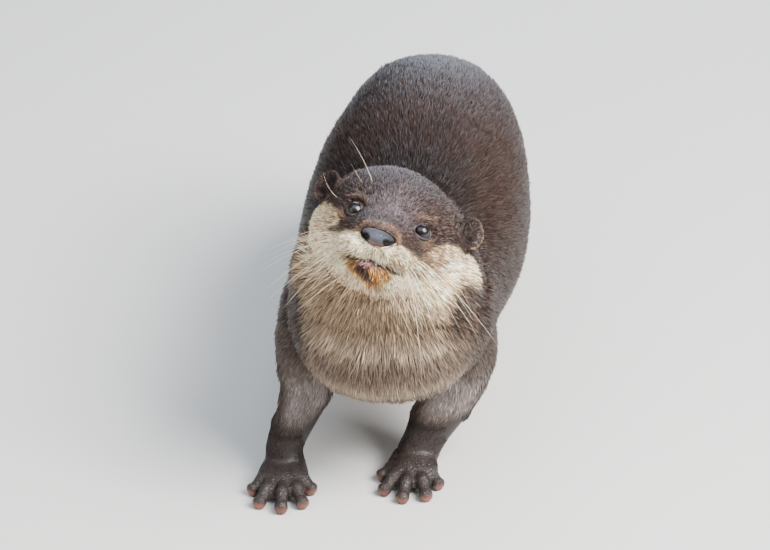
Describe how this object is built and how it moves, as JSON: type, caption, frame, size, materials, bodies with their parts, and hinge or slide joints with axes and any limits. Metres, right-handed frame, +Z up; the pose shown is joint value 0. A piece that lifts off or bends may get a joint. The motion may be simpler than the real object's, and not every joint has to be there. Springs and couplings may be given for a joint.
{
  "type": "asian small-clawed otter standing figure",
  "caption": "Life-size small-clawed otter standing on four feet, head raised and tilted, tail laid straight back on the floor.",
  "frame": {"origin": "middle of the bounding box, on the floor under the belly", "axes": "+Z up, +Y from the head to the tail, +X to the animal's left"},
  "size_m": [0.1686, 0.6006, 0.2063],
  "materials": {
    "fur_brown": "dense short dark brown fur with paler tips, glossy where it lies flat",
    "fur_pale": "soft grey-cream throat and cheek fur",
    "foot_skin": "wrinkled dark grey-brown skin of the feet with thin short hair",
    "nose_leather": "moist blue-grey nose pad",
    "eye": "wet dark brown eye, polished",
    "claw": "small blunt horn-coloured nails",
    "whisker": "stiff cream whiskers"
  },
  "bodies": {
    "root": {"head": "fur_brown", "neck": "fur_pale", "chest": "fur_brown", "loins": "fur_brown", "tail_root": "fur_brown", "tail_middle": "fur_brown", "tail_tip": "fur_brown", "ear_right": "fur_brown", "ear_left": "fur_brown", "upper_arm_right": "fur_brown", "upper_arm_left": "fur_brown", "forearm_right": "fur_brown", "forearm_left": "fur_brown", "forefoot_right": "foot_skin", "forefoot_left": "foot_skin", "thigh_right": "fur_brown", "thigh_left": "fur_brown", "shank_right": "fur_brown", "shank_left": "fur_brown", "hindfoot_right": "foot_skin", "hindfoot_left": "foot_skin", "eye_right": "eye", "eye_left": "eye", "nose_pad": "nose_leather"}
  },
  "joints": []
}
